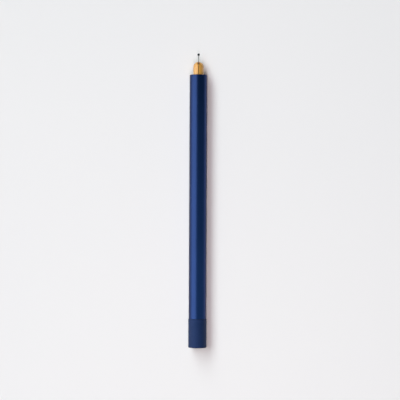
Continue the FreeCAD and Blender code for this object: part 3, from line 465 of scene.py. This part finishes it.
def flat_cutter(front):
    """A cutter for the shallow flat under the barrel's front end."""
    reach = 3.0 * MM
    lowest = (-reach, front - FLAT_LENGTH, FLAT_HEIGHT - reach)
    return brick("flat_cutter", lowest, (reach, front + reach, FLAT_HEIGHT))


def sharpen_level(piece, height):
    """Mark the edges at one height as sharp, so that a flat there isn't shaded round."""
    heights = [vertex.co.z for vertex in piece.data.vertices]
    for edge in piece.data.edges:
        if all(abs(heights[corner] - height) < 0.001 * MM for corner in edge.vertices):
            edge.use_edge_sharp = True


def wall_drills(node):
    """Cutters for the holes in the lower wall that belong to a node."""
    floor = AXIS - BARREL_RADIUS * 1.2
    ceiling = AXIS - BARREL_RADIUS * 0.6
    if node == "set_screws":
        reach = radius_of(node) + SCREW_CLEARANCE
        spots = [low(node).y + radius_of(node), high(node).y - radius_of(node)]
    elif node == "light_pipe":
        reach = radius_of(node)
        spots = [middle(node).y]
    else:
        reach = BUTTON_HOLE
        spots = [middle(node).y]
    return [round_bar("drill", reach, (0, spot, floor), (0, spot, ceiling)) for spot in spots]


def dial_sleeve():
    start = low("speed_dial").y
    end = high("speed_dial").y
    bore = DIAL_RADIUS - 0.65 * MM
    mouth = DIAL_RADIUS - 0.45 * MM
    shoulder = start + 1.15 * MM
    sleeve = lathe("dial_sleeve", rounded([
        (start, mouth, 0),
        (start, DIAL_RADIUS, 0.35 * MM),
        (end, DIAL_RADIUS, 0.12 * MM),
        (end, bore, 0.05 * MM),
        (shoulder, bore, 0),
        (shoulder, mouth, 0),
    ]), segments=256)
    return finish_piece(sleeve, FINISHES["matte_navy"], "dial", "matte_navy", "speed_dial")


def nozzle_collet():
    start = low("nozzle_collet").y
    mouth = 0.75 * MM
    dome_centre = high("nozzle_collet").y - math.sqrt(COLLET_RADIUS ** 2 - mouth ** 2)
    tip = dome_centre + COLLET_RADIUS
    taper_end = dome_centre - 5.5 * MM
    taper_start = taper_end - 2.5 * MM
    shank_end = taper_start - 2.3 * MM
    shank = 2.0 * MM
    collar = 2.3 * MM
    outline = rounded([
        (start, 1.5 * MM, 0),
        (start, shank, 0.08 * MM),
        (shank_end, shank, 0),
        (shank_end, collar, 0.08 * MM),
        (taper_start, collar, 0.2 * MM),
        (taper_end, COLLET_RADIUS, 0.4 * MM),
        (dome_centre, COLLET_RADIUS, 0),
    ])
    dome_steps = 32
    last = math.acos(mouth / COLLET_RADIUS)
    for step in range(1, dome_steps + 1):
        angle = last * step / dome_steps
        outline.append(Vector((
            dome_centre + COLLET_RADIUS * math.sin(angle), COLLET_RADIUS * math.cos(angle))))
    # the bore, from the mouth back to the needle's head and on to the heat break
    head_from = start + 3.4 * MM
    head_to = start + 8.6 * MM
    head = 1.0 * MM
    outline.append(Vector((tip - 0.7 * MM, NEEDLE_RADIUS)))
    outline.append(Vector((head_to, NEEDLE_RADIUS)))
    outline.append(Vector((head_to, head)))
    outline.append(Vector((head_from, head)))
    outline.append(Vector((head_from, 1.5 * MM)))
    collet = lathe("collet_jaws", outline, segments=192)
    cutters = []
    for third in range(3):
        cutters.extend(jaw_cutters(math.radians(120 * third), start + 12.4 * MM, tip))
    cut(collet, *cutters)
    soften(collet, 0.05 * MM)
    return finish_piece(collet, FINISHES["brass"], "handle", "brass", "nozzle_collet")


def jaw_cutters(turn, slot_start, tip):
    """Cutters for one slot between two jaws, and for the round relief hole near its front end.

    The relief's cutter starts a little off the centre line, because the cut goes wrong if it starts on it.
    """
    half_slot = 0.15 * MM
    lowest = (-half_slot, slot_start, AXIS)
    slot = brick("slot", lowest, (half_slot, tip + MM, AXIS + 2 * COLLET_RADIUS), turn)
    outwards = Vector((math.sin(turn), 0, math.cos(turn)))
    centre = Vector((0, tip - 1.05 * MM, AXIS))
    relief_start = centre + 0.13 * MM * outwards
    relief_end = centre + 2 * COLLET_RADIUS * outwards
    relief = round_bar("relief", 0.75 * MM, relief_start, relief_end, segments=46)
    return [slot, relief]


def nozzle_needle():
    start = low("nozzle_needle").y
    end = high("nozzle_needle").y
    head = radius_of("nozzle_needle")
    head_end = start + 1.6 * MM
    tube = lathe("needle_tube", rounded([
        (start, PLASTIC_BORE, 0),
        (start, head, 0.05 * MM),
        (head_end, head, 0.05 * MM),
        (head_end, NEEDLE_RADIUS, 0),
        (end, NEEDLE_RADIUS, 0.02 * MM),
        (end, PLASTIC_BORE, 0),
    ]), segments=64)
    return finish_piece(tube, FINISHES["needle_steel"], "handle", "needle_steel", "nozzle_needle")


def ball_tip():
    """The ball, bored through, with the needle's socket in its rear."""
    centre = low("nozzle_ball_tip").y + math.sqrt(BALL_RADIUS ** 2 - NEEDLE_RADIUS ** 2)
    socket = high("nozzle_needle").y
    outline = []
    steps = 40
    first = math.asin(PLASTIC_BORE / BALL_RADIUS)
    last = math.pi - math.asin(NEEDLE_RADIUS / BALL_RADIUS)
    for step in range(steps + 1):
        angle = first + (last - first) * step / steps
        outline.append(Vector((centre + BALL_RADIUS * math.cos(angle), BALL_RADIUS * math.sin(angle))))
    outline.append(Vector((socket, NEEDLE_RADIUS)))
    outline.append(Vector((socket, PLASTIC_BORE)))
    ball = lathe("ball_tip", outline, segments=96)
    return finish_piece(ball, FINISHES["dark_steel"], "handle", "dark_steel", "nozzle_ball_tip")


# ---------------------------------------------------------------- table, light and camera

def table():
    bpy.ops.mesh.primitive_plane_add(size=8, location=(0, 0, 0))
    floor = bpy.context.object
    floor.name = "table_top"
    finish = Finish("white_table", (0.80, 0.80, 0.797), roughness=0.72)
    finish.vary_colour(finish.noise(0.35, detail=2), (0.815, 0.812, 0.805), 0.3, 0.7)
    finish.vary_roughness(finish.noise(0.02), 0.68, 0.76)
    finish.bump(finish.noise(0.0015, detail=3), 0.00001)
    floor.data.materials.append(finish.material)


def panel(name, lean, along, spread, distance, length, radiance, colour, diffuse, glossy):
    """A flat rectangular light facing the pen, which stands for a softbox.

    lean and spread are angles in the plane across the pen, with lean measured from straight up towards -X.
    along is how far it stands towards the nozzle. diffuse and glossy say which kinds of surface it lights.
    """
    light = bpy.data.lights.new(name, "AREA")
    light.shape = "RECTANGLE"
    light.size = 2 * distance * math.tan(spread / 2)
    light.size_y = length
    light.energy = radiance * math.pi * light.size * light.size_y
    light.color = colour
    lamp = bpy.data.objects.new(name, light)
    lamp.location = (-distance * math.sin(lean), along, distance * math.cos(lean))
    away = lamp.location.normalized()
    across = Vector((0, 1, 0)).cross(away).normalized()
    lamp.rotation_euler = Matrix((across, away.cross(across), away)).transposed().to_euler()
    lamp.visible_diffuse = diffuse
    lamp.visible_glossy = glossy
    bpy.context.scene.collection.objects.link(lamp)


def surroundings(seen, ambient, reflected_behind, reflected_ahead):
    """A pale room: its colour as seen, as a light on matt things, and in reflections.

    Its reflection fades from the tail's side to the nozzle's.
    """
    world = bpy.data.worlds.new("studio")
    world.use_nodes = True
    tree = world.node_tree

    def blend(factor, low_colour, high_colour):
        mix = tree.nodes.new("ShaderNodeMix")
        mix.data_type = "RGBA"
        tree.links.new(factor, mix.inputs["Factor"])
        for socket, colour in (("A", low_colour), ("B", high_colour)):
            if isinstance(colour, tuple):
                mix.inputs[socket].default_value = (*colour, 1.0)
            else:
                tree.links.new(colour, mix.inputs[socket])
        return mix.outputs["Result"]

    path = tree.nodes.new("ShaderNodeLightPath")
    direction = tree.nodes.new("ShaderNodeTexCoord")
    split = tree.nodes.new("ShaderNodeSeparateXYZ")
    fade = tree.nodes.new("ShaderNodeMapRange")
    fade.inputs["From Min"].default_value = -0.35
    fade.inputs["From Max"].default_value = 0.35
    tree.links.new(direction.outputs["Generated"], split.inputs["Vector"])
    tree.links.new(split.outputs["Y"], fade.inputs["Value"])
    reflected = blend(fade.outputs["Result"], reflected_behind, reflected_ahead)
    lighting = blend(path.outputs["Is Glossy Ray"], ambient, reflected)
    everything = blend(path.outputs["Is Camera Ray"], lighting, seen)
    tree.links.new(everything, tree.nodes["Background"].inputs["Color"])
    tree.nodes["Background"].inputs["Strength"].default_value = 1.0
    bpy.context.scene.world = world


def studio():
    panel(
        "key_light", lean=math.radians(32), along=2.4, spread=math.radians(28), distance=4.5,
        length=7.6, radiance=5.45, colour=(0.87, 0.985, 1.0), diffuse=True, glossy=False)
    panel(
        "side_softbox", lean=math.radians(57), along=0.0, spread=math.radians(72), distance=1.1,
        length=3.0, radiance=1.6, colour=(1.0, 1.0, 1.0), diffuse=False, glossy=True)
    panel(
        "top_softbox", lean=0.0, along=-0.18, spread=math.radians(14), distance=0.8,
        length=0.64, radiance=9.5, colour=(1.0, 0.84, 0.87), diffuse=True, glossy=False)
    surroundings(
        seen=(0.86, 0.85, 0.847), ambient=(0.04, 0.04, 0.04),
        reflected_behind=(0.40, 0.68, 0.74), reflected_ahead=(0.005, 0.015, 0.02))
    bpy.context.scene.view_settings.view_transform = "Standard"


def camera():
    """Straight above the pen, a little to its right, with the nozzle at the top of the picture."""
    data = bpy.data.cameras.new("camera")
    data.sensor_width = 36
    data.lens = 144.1
    lens = bpy.data.objects.new("camera", data)
    lens.location = (0.00123, 0.00033, AXIS + 0.960)
    lens.rotation_euler = (0, 0, math.radians(0.26))
    bpy.context.scene.collection.objects.link(lens)
    bpy.context.scene.camera = lens


finish_cad_nodes()
barrel_tube()
dial_sleeve()
nozzle_collet()
nozzle_needle()
ball_tip()
table()
studio()
camera()
